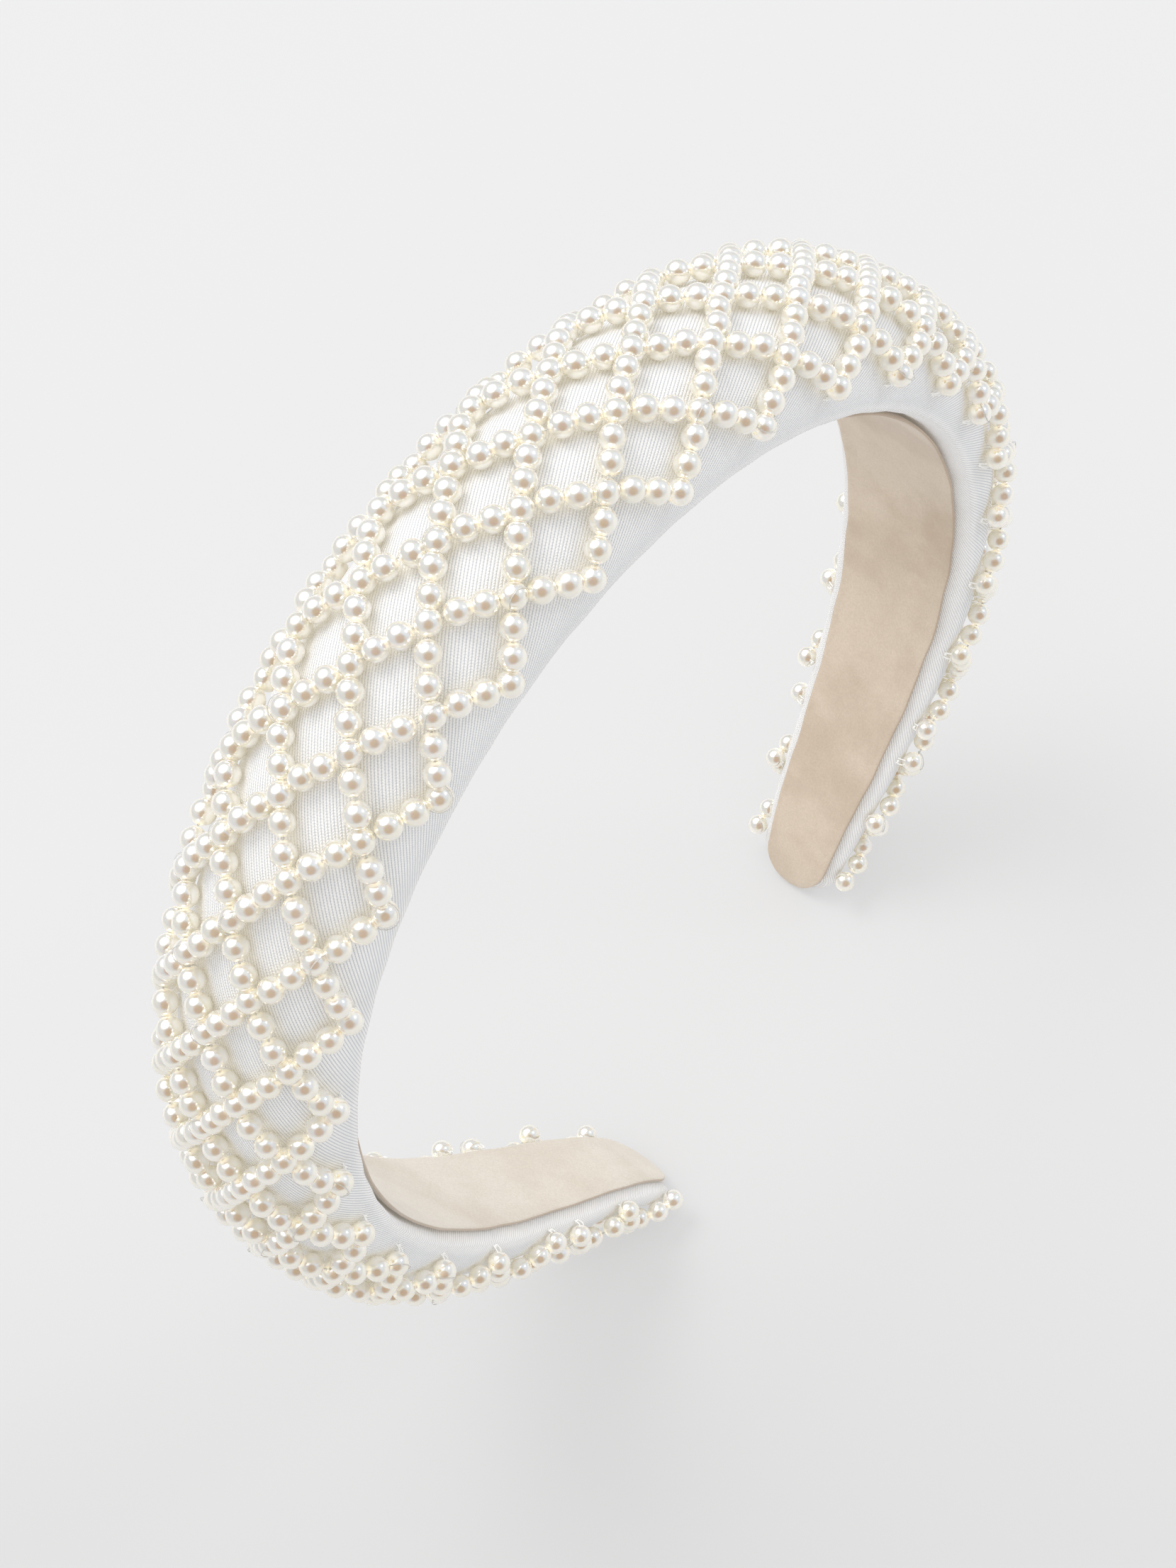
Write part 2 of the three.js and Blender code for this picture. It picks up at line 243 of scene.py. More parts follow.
def mesh_object(name, points, *faces):
    """A smooth-shaded object from points in millimetres and arrays of quads or triangles."""
    faces = [np.asarray(f, np.int32) for f in faces if len(f)]
    sizes = np.concatenate([np.full(len(f), f.shape[1]) for f in faces])
    corners = np.concatenate([f.ravel() for f in faces])
    mesh = bpy.data.meshes.new(name)
    mesh.vertices.add(len(points))
    mesh.vertices.foreach_set("co", (np.asarray(points) * MM).astype(np.float32).ravel())
    mesh.loops.add(len(corners))
    mesh.loops.foreach_set("vertex_index", corners)
    mesh.polygons.add(len(sizes))
    mesh.polygons.foreach_set("loop_start", np.concatenate([[0], np.cumsum(sizes)[:-1]]))
    mesh.polygons.foreach_set("use_smooth", np.full(len(sizes), True))
    mesh.update(calc_edges=True)
    mesh.validate()
    made = bpy.data.objects.new(name, mesh)
    bpy.context.scene.collection.objects.link(made)
    return made


def point_values(piece, name, values):
    """Keeps a number or a vector for each point, for its material to read."""
    values = np.asarray(values, np.float32)
    kind = "FLOAT" if values.ndim == 1 else "FLOAT_VECTOR"
    attribute = piece.data.attributes.new(name, kind, "POINT")
    attribute.data.foreach_set("value" if values.ndim == 1 else "vector", values.ravel())


def grid_quads(rows, columns, wrap=False):
    """The quads of a grid of points, row by row. wrap joins the last column to the first."""
    r = np.arange(rows - 1)[:, None]
    c = np.arange(columns if wrap else columns - 1)[None, :]
    after = (c + 1) % columns
    quads = [r * columns + c, r * columns + after, (r + 1) * columns + after, (r + 1) * columns + c]
    return np.stack(quads, axis=-1).reshape(-1, 4)


def cap_fans(rows, columns, first, last, wrap=True):
    """Triangles that close a grid's two ends on the points numbered first and last."""
    c = np.arange(columns if wrap else columns - 1)
    after = (c + 1) % columns
    base = (rows - 1) * columns
    near = np.stack([np.full(len(c), first), after, c], axis=-1)
    far = np.stack([np.full(len(c), last), base + c, base + after], axis=-1)
    return np.concatenate([near, far])


def loft(name, rings, wrap=True):
    """A piece with closed ends through rings of points, an array of stations by points by 3."""
    rows, columns, _ = rings.shape
    ends = [rings[0].mean(0), rings[-1].mean(0)]
    points = np.concatenate([rings.reshape(-1, 3), ends])
    total = rows * columns
    caps = cap_fans(rows, columns, total, total + 1, wrap)
    return mesh_object(name, points, grid_quads(rows, columns, wrap), caps)


def square_to(points):
    """Two unit directions at each point of a line, square to it and to each other, untwisted."""
    along = np.gradient(points, axis=0)
    along /= np.linalg.norm(along, axis=1, keepdims=True)
    side = np.zeros_like(along)
    unlike = [0.3, 0.5, 0.8]
    last = np.cross(along[0], unlike)
    for i, direction in enumerate(along):
        last = last - direction * np.dot(last, direction)
        last = last / np.linalg.norm(last)
        side[i] = last
    return side, np.cross(along, side)


def tube_parts(points, radius, sides=LINE_SIDES):
    """Points, quads and end triangles of a round tube along a line."""
    points = np.asarray(points, float)
    side, up = square_to(points)
    angle = np.linspace(0, 2 * np.pi, sides, endpoint=False)[None, :, None]
    ring = np.cos(angle) * side[:, None, :] + np.sin(angle) * up[:, None, :]
    rings = points[:, None, :] + radius * ring
    rows = len(points)
    total = rows * sides
    everything = np.concatenate([rings.reshape(-1, 3), points[:1], points[-1:]])
    return everything, grid_quads(rows, sides, True), cap_fans(rows, sides, total, total + 1)


def joined(name, parts):
    """One object from several sets of points, quads and triangles."""
    start = 0
    points, quads, triangles = [], [], []
    for p, q, t in parts:
        points.append(p)
        quads.append(q + start)
        triangles.append(t + start)
        start += len(p)
    points, quads, triangles = (np.concatenate(part) for part in (points, quads, triangles))
    return mesh_object(name, points, quads, triangles)


def soft_noise(a, b, wavelength, seed):
    """A smooth random surface between about -1 and 1 over the plane of a and b."""
    draw = np.random.default_rng(seed)
    total = np.zeros(np.broadcast(a, b).shape)
    waves = 9
    for _ in range(waves):
        heading, phase = draw.uniform(0, 2 * np.pi, 2)
        stretch = draw.uniform(0.6, 1.6)
        pace = 2 * np.pi / (wavelength * stretch)
        total += np.cos(pace * (a * math.cos(heading) + b * math.sin(heading)) + phase)
    return total / math.sqrt(waves * 2)


def grid_normals(points):
    """Unit normals of a grid of points, facing away from the padding."""
    along = np.gradient(points, axis=0)
    over = np.gradient(points, axis=1)
    normal = np.cross(over, along)
    return normal / np.maximum(np.linalg.norm(normal, axis=2, keepdims=True), 1e-9)


# ---------------------------------------------------------------- the band's surfaces


def stations(count, tip_count, end=HALF_LENGTH):
    """Distances along the band: even, then closer together round each tip."""
    straight = end - TIP_ROUNDING
    tip = straight + TIP_ROUNDING * np.sin(np.linspace(0, np.pi / 2, tip_count)[1:])
    return np.concatenate([-tip[::-1], np.linspace(-straight, straight, count), tip])


def tip_swell(s, end=HALF_LENGTH):
    """How thick the section still is: the very end of a tip is rounded over its last stretch."""
    least = 0.1
    past = np.clip((np.abs(s) - (end - TIP_BLUNTING)) / TIP_BLUNTING, 0, 1)
    return np.sqrt(np.maximum(1 - past**2, least**2))


def padded_outline(s, inset, underside, end=HALF_LENGTH):
    """The padded section at s as y and h, once round from the middle of its underside."""
    angle = -np.pi / 2 - np.linspace(0, 2 * np.pi, OUTLINE_POINTS)
    round_ = max(float(tip_round(s, end)), LEAST_ROUND)
    rise = lerp(TIP_RISE, 1, round_) * float(tip_swell(s, end))
    half = (float(band_width(s)) / 2 - inset) * round_
    top = (float(band_height(s)) - WIDEST_LEVEL - inset) * rise
    drop = (WIDEST_LEVEL - underside) * rise
    power = 2 / SECTION_ROUNDNESS
    cosine, sine = np.cos(angle), np.sin(angle)
    y = half * np.sign(cosine) * np.abs(cosine) ** power
    above = np.abs(sine) ** power * top
    below = -np.abs(sine) ** (power * UNDERSIDE_FLATNESS) * drop
    return y, WIDEST_LEVEL + np.where(sine > 0, above, below)


def cover_section(s, columns):
    """The knit at s from one turned-in edge, round the outside, to the other: y, h and the walk."""
    y, h = padded_outline(s, 0, COVER_UNDERSIDE)
    slot = max(float(lining_width(s)) / 2 - FLANGE_DEPTH, LEAST_SLOT)
    slot *= max(float(tip_round(s)), LEAST_ROUND)
    keep = ~((np.abs(y) < slot) & (h < WIDEST_LEVEL))
    y, h = y[keep], h[keep]
    walked = np.concatenate([[0], np.cumsum(np.hypot(np.diff(y), np.diff(h)))])
    middle = walked[-1] / 2
    at = np.linspace(0, walked[-1], columns)
    return np.interp(at, walked, y), np.interp(at, walked, h), at - middle


def cover_grid(along, columns, shift):
    """The smooth outer face of the knit: points, and for each its s, h and walk from the top."""
    sections = [cover_section(s, columns) for s in along]
    y, h, walk = (np.array([section[i] for section in sections]) for i in range(3))
    s = np.repeat(np.asarray(along)[:, None], columns, axis=1)
    return place(s, y, h, shift), s, h, walk


# ---------------------------------------------------------------- the net


def pearl_curve(s):
    """The quarter curve that pearl centres lie on over the section at s: y, h and the walk."""
    angle = np.linspace(0, np.pi / 2, CURVE_POINTS)
    round_ = max(float(tip_round(s)), LEAST_NET_ROUND)
    half = float(band_width(s)) / 2 * round_ + PEARL_LIFT
    top = (float(band_height(s)) - WIDEST_LEVEL) * lerp(TIP_RISE, 1, round_) + PEARL_LIFT
    power = 2 / SECTION_ROUNDNESS
    y = half * np.sin(angle) ** power
    h = WIDEST_LEVEL + top * np.maximum(np.cos(angle), 0) ** power
    y = np.append(y, half)
    h = np.append(h, WIDEST_LEVEL - EDGE_DROP)
    walked = np.concatenate([[0], np.cumsum(np.hypot(np.diff(y), np.diff(h)))])
    return y, h, walked


def pearl_at(s, over, shift, sink=PEARL_SINK):
    """The centre of a pearl at s and a signed walk over the section, and its direction outwards."""
    y, h, walked = pearl_curve(s)
    far = min(abs(over), walked[-1])
    near = 0.1
    steps = np.array([far - near, far, far + near])
    places = np.stack([np.interp(steps, walked, y), np.interp(steps, walked, h)], axis=1)
    before, here, after = places
    tangent = after - before
    out = np.array([-tangent[1], tangent[0]]) / max(np.linalg.norm(tangent), 1e-9)
    sign = -1.0 if over < 0 else 1.0
    centre = here - out * sink
    origin = place(s, sign * centre[0], centre[1], shift)
    outward = place(s, sign * (centre[0] + out[0]), centre[1] + out[1], shift) - origin
    return origin, outward


def net_reach(s):
    """How far the net's edge lies from the top. On the legs it drops below the widest level."""
    coverage = min(1.0, NET_COVERAGE + COVERAGE_GAIN * float(towards_tip(s)) ** 2)
    dropped = float(smoothstep(abs(float(towards_tip(s))), DROP_STARTS, DROP_ENDS))
    _, _, walked = pearl_curve(s)
    return walked[-2] * coverage + EDGE_DROP * dropped


def rows_aside(s):
    """Rows of diamonds on each side of the middle: three along the band, two near the tips."""
    narrowed = smoothstep(abs(float(towards_tip(s))), NARROWING_STARTS, NARROWING_ENDS)
    return lerp(MIDDLE_ROW, MIDDLE_ROW - 1, narrowed)


def corner_places():
    """Places along the band where the diamonds have their corners, half a diamond apart."""
    places = [NET_SHIFT]
    for way in (-1, 1):
        s = NET_SHIFT
        while abs(s) < HALF_LENGTH - NET_STOPS:
            across = net_reach(s) / rows_aside(s)
            along = math.sqrt(SIDE**2 - across**2)
            s += way * along / (1 + float(curvature(s)) * (float(band_height(s)) + LINE_LEVEL))
            if abs(s) < HALF_LENGTH - NET_STOPS:
                places = [s, *places] if way < 0 else [*places, s]
    return places


CORNERS = corner_places()
CROWN_CORNER = CORNERS.index(NET_SHIFT)


def row_over(s, row):
    """The signed walk from the top to a row of corners."""
    if row == MIDDLE_ROW:
        return 0.0
    share = min(abs(row - MIDDLE_ROW) / rows_aside(s), 1)
    return math.copysign(net_reach(s) * share**ROW_SPREAD, row - MIDDLE_ROW)


def has_row(i, row):
    """Whether the net is wide enough at corner number i to hold that row."""
    return i < len(CORNERS) and abs(row - MIDDLE_ROW) <= math.floor(rows_aside(CORNERS[i]) + 0.5)


def ends_strand(stop):
    """Whether a stop can't be a strand's last: no pearl of its own, or one that meets the floor."""
    return not stop["held"] or pearl_at(stop["s"], stop["over"], (0, 0), 0)[0][2] < PEARL_LIFT


def strand_stops(strand):
    """The stops of one strand, which zigzags between two rows and shares every other corner."""
    stops = []
    for i, s in enumerate(CORNERS):
        if not (has_row(i, strand) and has_row(i, strand + 1)):
            continue
        odd = abs(i - CROWN_CORNER) % 2
        row = strand if strand % 2 == odd else strand + 1
        held = row > strand or not has_row(i, strand - 1)
        stops.append({"s": s, "over": row_over(s, row), "row": row, "held": held})
        if has_row(i + 1, strand) and has_row(i + 1, strand + 1):
            after = CORNERS[i + 1]
            other = row_over(after, 2 * strand + 1 - row)
            for pearl in range(1, PEARLS_PER_SIDE):
                share = pearl / PEARLS_PER_SIDE
                between = {"s": lerp(s, after, share), "over": lerp(row_over(s, row), other, share)}
                stops.append({**between, "row": None, "held": True})
    while stops and ends_strand(stops[0]):
        stops.pop(0)
    while stops and ends_strand(stops[-1]):
        stops.pop()
    return stops


def strand_beads(strand, shift):
    """The stops of a strand with their places, a little uneven as in a net strung by hand."""
    draw = np.random.default_rng(100 + strand)
    beads = []
    for stop in strand_stops(strand):
        along, over, lift = draw.normal(0, HAND_STRUNG)
        centre, out = pearl_at(stop["s"] + along, stop["over"] + over, shift)
        look = {"size": draw.normal(1, SIZE_SPREAD), "tone": draw.random()}
        beads.append({**stop, **look, "centre": centre + out * lift, "out": out})
    return beads


# ---------------------------------------------------------------- pieces


def near_net(points, lines):
    """How far each point lies from the nearest line of the net, sideways over the surface."""
    tree = KDTree(len(lines))
    for i, p in enumerate(lines):
        tree.insert(p, i)
    tree.balance()
    away = np.array([tree.find(p)[2] for p in points.reshape(-1, 3)]).reshape(points.shape[:-1])
    lift = PEARL_LIFT - PEARL_SINK
    return np.sqrt(np.maximum(away**2 - lift**2, 0))


def swelling(points, held):
    """How far foam pushes the knit out between the lines that hold it down, by cloth simulation.

    The cloth is simulated CLOTH_SCALE times larger, to suit the solver's weight for each point.
    """
    rows, columns, _ = points.shape
    larger = points.reshape(-1, 3) * CLOTH_SCALE
    cloth = mesh_object("swelling_cloth", larger, grid_quads(rows, columns))
    group = cloth.vertex_groups.new(name="held")
    group.add(np.flatnonzero(held.ravel()).tolist(), 1.0, "REPLACE")
    modifier = cloth.modifiers.new("cloth", "CLOTH")
    settings = modifier.settings
    settings.quality = 5
    settings.mass = 0.3
    settings.tension_stiffness = 15
    settings.compression_stiffness = 15
    settings.bending_stiffness = 0.5
    settings.use_pressure = True
    settings.uniform_pressure_force = 4
    settings.vertex_group_mass = "held"
    settings.effector_weights.gravity = 0
    scene = bpy.context.scene
    for number in range(1, CLOTH_STEPS + 1):
        scene.frame_set(number)
    graph = bpy.context.evaluated_depsgraph_get()
    shape = cloth.evaluated_get(graph).to_mesh()
    moved = np.zeros(len(shape.vertices) * 3, np.float32)
    shape.vertices.foreach_get("co", moved)
    mesh = cloth.data
    bpy.data.objects.remove(cloth)
    bpy.data.meshes.remove(mesh)
    scene.frame_set(1)
    change = moved.reshape(points.shape) / (CLOTH_SCALE * MM) - points
    return np.clip((change * grid_normals(points)).sum(2), 0, SWELL_CAP)


def upsampled(values, s_from, s_to, columns):
    """A grid of numbers read off at other stations and another number of columns."""
    across_from = np.linspace(0, 1, values.shape[1])
    across_to = np.linspace(0, 1, columns)
    rows = np.array([np.interp(across_to, across_from, row) for row in values])
    return np.array([np.interp(s_to, s_from, column) for column in rows.T]).T


def tack_points():
    """Where the net's edge is stitched down, as s and the walk over the pearls' curve."""
    tacks = []
    for i, s in enumerate(CORNERS):
        odd = abs(i - CROWN_CORNER) % 2
        rows = [row for row in range(STRANDS + 1) if row % 2 == odd and has_row(i, row)]
        outer = {rows[0], rows[-1]} if rows else set()
        if abs(s) < LAST_TACK:
            tacks += [(s, row_over(s, row)) for row in sorted(outer) if row != MIDDLE_ROW]
    return tacks


def knit_cover(shift, net_lines, tacks):
    """The knitted cover: swelled between strands, dented under them and puckered at its tacks."""
    count, tip_count, columns = COARSE_KNIT
    coarse_along = stations(count, tip_count)
    coarse, s, h, _ = cover_grid(coarse_along, columns, shift)
    held = near_net(coarse, net_lines) < HELD_BESIDE
    held |= (h < HELD_LEVEL) | (np.abs(s) > HALF_LENGTH - HELD_TIP)
    swell = swelling(coarse, held)

    count, tip_count, columns = FINE_KNIT
    along = stations(count, tip_count)
    points, s, h, walk = cover_grid(along, columns, shift)
    normal = grid_normals(points)
    out = upsampled(swell, coarse_along, along, columns)
    beside = near_net(points, net_lines)
    out -= DENT * np.exp(-((beside / DENT_REACH) ** 2))
    out += 0.06 * soft_noise(s, walk, wavelength=17, seed=1)
    out += 0.02 * soft_noise(s, walk, wavelength=4.5, seed=2)
    wrapped = 1 - smoothstep(h, 1.6, 5.0)
    out += 0.05 * wrapped * soft_noise(s, 0.35 * walk, wavelength=5.5, seed=3)
    out += puckers(points, s, walk, tacks, shift)
    calm = 1 - smoothstep(np.abs(s), HALF_LENGTH - 7, HALF_LENGTH - 1)
    points = points + normal * (out * calm)[..., None]
    above_floor = 0.02
    points[..., 2] = np.maximum(points[..., 2], above_floor)

    cover = loft("knit_cover_cloth", points, wrap=False)
    bias = math.radians(WALE_BIAS)
    wale = s * math.cos(bias) - walk * math.sin(bias)
    course = s * math.sin(bias) + walk * math.cos(bias)
    cloth = np.stack([wale, course, np.clip(beside, 0, 9)], axis=-1).reshape(-1, 3)
    point_values(cover, "cloth", np.concatenate([cloth, np.zeros((2, 3))]))
    # how much painted shade the knit gets where it turns under, most at its edge
    turned = TURNED_SHADE * (1 - smoothstep(h, 1.2, 6.5))
    point_values(cover, "turned", np.concatenate([turned.ravel(), [TURNED_SHADE] * 2]))
    thick = cover.modifiers.new("thickness", "SOLIDIFY")
    thick.thickness = FABRIC * MM
    thick.offset = -1
    return cover


def puckers(points, s, walk, tacks, shift):
    """Small dimples at the tacks, with pleats that fan out from each."""
    beyond, reach = 1.9, 7
    total = np.zeros(s.shape)
    for number, (tack_s, over) in enumerate(tacks):
        centre, _ = pearl_at(tack_s, over + math.copysign(beyond, over), shift, PEARL_LIFT)
        rows = np.flatnonzero(np.abs(s[:, 0] - tack_s) < reach)
        if not len(rows):
            continue
        patch = slice(rows[0], rows[-1] + 1)
        away = np.linalg.norm(points[patch] - centre, axis=2)
        nearest = np.unravel_index(away.argmin(), away.shape)
        turn = np.arctan2(walk[patch] - walk[patch][nearest], s[patch] - s[patch][nearest])
        pleats = np.cos(PLEATS_ROUND * turn + number) * np.exp(-((away / PLEAT_REACH) ** 2))
        pleats *= smoothstep(away, 0.2, 1.2)
        total[patch] += PLEAT * pleats - DIMPLE * np.exp(-((away / DIMPLE_REACH) ** 2))
    return total


def suede_lining(shift):
    """The suede strip glued over the turned-in edges: softly wrinkled, with rolled cut edges."""
    short_of_tip = 0.8
    end = HALF_LENGTH - short_of_tip
    count, tip_count, columns = SUEDE_FINENESS
    along = stations(count, tip_count, end)
    angle = np.linspace(0, 2 * np.pi, columns, endpoint=False)
    s = np.repeat(along[:, None], columns, axis=1)
    half = (lining_width(along) / 2 * np.maximum(tip_round(along, end), LEAST_ROUND))[:, None]
    thick = LINING_THICKNESS / 2 * tip_swell(along, end)[:, None]
    y = half * np.sign(np.cos(angle)) * np.abs(np.cos(angle)) ** 0.75
    inward = np.sign(np.sin(angle)) * np.abs(np.sin(angle)) ** 0.35
    h = LINING_THICKNESS / 2 + inward * thick
    across = y / np.maximum(half, 0.1)
    face = np.clip(-inward, 0, 1)
    body = np.clip(1 - np.abs(across) ** 8, 0, 1)
    wrinkles = 0.16 * soft_noise(s, 0.25 * y, wavelength=26, seed=11)
    wrinkles += 0.1 * soft_noise(0.3 * s, y, wavelength=5.5, seed=12)
    wrinkles += 0.05 * soft_noise(s, y, wavelength=3.2, seed=13)
    lip = 0.07 * np.exp(-(((np.abs(across) - 0.95) / 0.04) ** 2))
    h = h - face * (wrinkles * body + lip)
    y = y + 0.12 * soft_noise(s, 0 * s, wavelength=9, seed=14) * np.abs(across) ** 6
    rings = place(s, y, h, shift)
    above_floor = 0.05
    rings[..., 2] = np.maximum(rings[..., 2], above_floor)
    lining = loft("suede_lining_strip", rings)
    strip = np.stack([s, y, across], axis=-1).reshape(-1, 3)
    point_values(lining, "strip", np.concatenate([strip, np.zeros((2, 3))]))
    return lining


def foam_filling(shift):
    """The foam on the core, crowned, with open pores, a little smaller than the cover's inside."""
    end = HALF_LENGTH * FOAM_END
    count, tip_count, columns = FOAM_FINENESS
    along = stations(count, tip_count, end)
    rings = []
    for s in along:
        y, h = padded_outline(s, FOAM_INSET, COVER_UNDERSIDE, end)
        h = np.maximum(h, FOAM_LEVEL)
        walked = np.concatenate([[0], np.cumsum(np.hypot(np.diff(y), np.diff(h)))])
        at = np.linspace(0, walked[-1], columns, endpoint=False)
        rings.append(place(s, np.interp(at, walked, y), np.interp(at, walked, h), shift))
    rings = np.array(rings)
    s = np.repeat(along[:, None], columns, axis=1)
    around = np.arange(columns)[None, :] * 1.1
    uneven = 1 + 0.008 * soft_noise(s, around, wavelength=2.5, seed=21)
    centre = rings.mean(1, keepdims=True)
    rings = centre + (rings - centre) * uneven[..., None]
    foam = loft("foam_filling", rings)
    return foam


def pearl_template():
    """A drilled pearl of radius 1 about the Z axis: points and quads, closed through its bore."""
    bore = BORE_RADIUS / PEARL_RADIUS
    rim_angle = math.asin(bore + 0.07)
    profile = [(math.sin(a), math.cos(a))
               for a in np.linspace(rim_angle, math.pi - rim_angle, PEARL_RINGS)]
    edge = math.cos(rim_angle)
    lip, lip_end, wall_end = bore + 0.02, edge + 0.005, edge - 0.06
    profile += [(lip, -lip_end), (bore, -wall_end), (bore, wall_end), (lip, lip_end)]
    radius, level = np.array(profile).T
    angle = np.linspace(0, 2 * np.pi, PEARL_SEGMENTS, endpoint=False)[:, None]
    x, y = np.cos(angle) * radius, np.sin(angle) * radius
    points = np.stack([x, y, np.broadcast_to(level, x.shape)], axis=-1)
    rows, columns = x.shape
    r = np.arange(rows)[:, None]
    c = np.arange(columns)[None, :]
    row, row_after = r * columns, (r + 1) % rows * columns
    c_after = (c + 1) % columns
    quads = [row + c, row + c_after, row_after + c_after, row_after + c]
    return points.reshape(-1, 3), np.stack(quads, axis=-1).reshape(-1, 4)


def pearl_strand(number, beads):
    """The pearls of one strand, each drilled and turned so that its bore follows the thread."""
    template, quads = pearl_template()
    centres = np.array([bead["centre"] for bead in beads])
    along = np.gradient(centres, axis=0)
    points, faces, tones = [], [], []
    for bead, direction in zip(beads, along):
        if not bead["held"]:
            continue
        axis = Vector(direction).normalized()
        turn = np.array(axis.to_track_quat("Z", "Y").to_matrix())
        faces.append(quads + len(points) * len(template))
        points.append(template @ turn.T * PEARL_RADIUS * bead["size"] + bead["centre"])
        tones.append(np.full(len(template), bead["tone"]))
    strand = mesh_object(f"pearls_{number}", np.concatenate(points), np.concatenate(faces))
    point_values(strand, "tone", np.concatenate(tones))
    # how much painted light each point of a pearl gets, most round the bore
    bore_glow_share = smoothstep(np.abs(template[:, 2]), 0.76, 0.98)
    point_values(strand, "bore", np.tile(bore_glow_share, len(tones)))
    return strand


def thread_line(beads, seed):
    """The thread's path through a strand's pearls, a little slack where it shows between them."""
    draw = np.random.default_rng(seed)
    line = [beads[0]["centre"]]
    for here, after in zip(beads, beads[1:]):
        gap = after["centre"] - here["centre"]
        side = np.cross(gap, here["out"])
        side /= np.linalg.norm(side)
        slack = here["out"] * draw.uniform(0.05, 0.3) + side * draw.uniform(-0.3, 0.3)
        line.append(here["centre"] + gap * 0.42 + slack * 0.8)
        line.append(here["centre"] + gap * 0.58 + slack)
        line.append(after["centre"])
    return np.array(line)


def smooth_line(points, steps):
    """A line through the given points with steps between each two, curved as a spline."""
    points = np.asarray(points, float)
    padded = np.concatenate([[2 * points[0] - points[1]], points, [2 * points[-1] - points[-2]]])
    share = np.linspace(0, 1, steps, endpoint=False)[:, None]
    line = []
    for p0, p1, p2, p3 in zip(padded, padded[1:], padded[2:], padded[3:]):
        bend = 2 * p0 - 5 * p1 + 4 * p2 - p3
        twist = 3 * p1 - p0 - 3 * p2 + p3
        line.append(0.5 * (2 * p1 + (p2 - p0) * share + bend * share**2 + twist * share**3))
    return np.concatenate([*line, points[-1:]])


def net_thread(number, beads):
    """The clear line of one strand."""
    line = smooth_line(thread_line(beads, seed=300 + number), steps=2)
    return joined(f"thread_{number}", [tube_parts(line, THREAD_RADIUS)])


def corner_loops(strands):
    """Short loops of the clear line round some shared pearls, where two strands are tied."""
    draw = np.random.default_rng(41)
    bow = (PEARL_RADIUS + THREAD_RADIUS) * 1.02
    least_bend = 0.2
    parts = []
    for beads in strands:
        for before, bead, after in zip(beads, beads[1:], beads[2:]):
            if bead["row"] is None or not bead["held"] or draw.random() > TIED_SHARE:
                continue
            middle = bead["centre"]
            start = lerp(before["centre"], middle, 0.5)
            finish = lerp(middle, after["centre"], 0.5)
            away = middle - lerp(start, finish, 0.5)
            side = np.cross(finish - start, bead["out"])
            side /= np.linalg.norm(side)
            if np.dot(side, away) < 0 and np.linalg.norm(away) > least_bend:
                side = -side
            tilt = draw.uniform(0.35, 0.9)
            top = middle + (side * math.cos(tilt) + bead["out"] * math.sin(tilt)) * bow
            arc = []
            for share in np.linspace(0, 1, 15):
                p = lerp(lerp(start, top, share), lerp(top, finish, share), share)
                reach = p - middle
                far = np.linalg.norm(reach)
                arc.append(middle + reach / far * max(far, bow))
            parts.append(tube_parts(np.array(arc), THREAD_RADIUS * 0.5, FINE_LINE_SIDES))
    return joined("corner_loops", parts)


def tack_stitches(tacks, shift):
    """The stitches that hold the net's edge down: two legs and a small knot at each edge corner."""
    draw = np.random.default_rng(57)
    knot_radius, knot_lift = 0.17, 0.08
    parts = []
    for s, over in tacks:
        way = math.copysign(1, over)
        end = over + way * TACK_REACH
        for spread in (-0.45, 0.4):
            start, _ = pearl_at(s + spread * 0.5, over + way * 0.5, shift)
            lifted, _ = pearl_at(s + spread, over + way * 1.4, shift, 0.9)
            foot, _ = pearl_at(s + spread * draw.uniform(0.5, 1.2), end, shift, PEARL_LIFT + 0.1)
            leg = smooth_line([start, lifted, foot], steps=6)
            parts.append(tube_parts(leg, THREAD_RADIUS * 0.7, FINE_LINE_SIDES))
        knot, out = pearl_at(s + draw.uniform(-0.2, 0.2), end, shift, PEARL_LIFT - 0.05)
        beside, _ = pearl_at(s + 0.5, end, shift, PEARL_LIFT - 0.05)
        ahead = (beside - knot) / np.linalg.norm(beside - knot)
        aside = np.cross(out, ahead)
        turn = np.linspace(0, 2 * np.pi * 2.3, 30)[:, None]
        wound = knot_radius * (np.cos(turn) * ahead + np.sin(turn) * aside)
        knot_line = knot + wound + out * knot_lift * (np.sin(1.5 * turn) + 1)
        parts.append(tube_parts(knot_line, THREAD_RADIUS * 0.6, FINE_LINE_SIDES))
    return joined("tack_stitches", parts)


# ---------------------------------------------------------------- materials


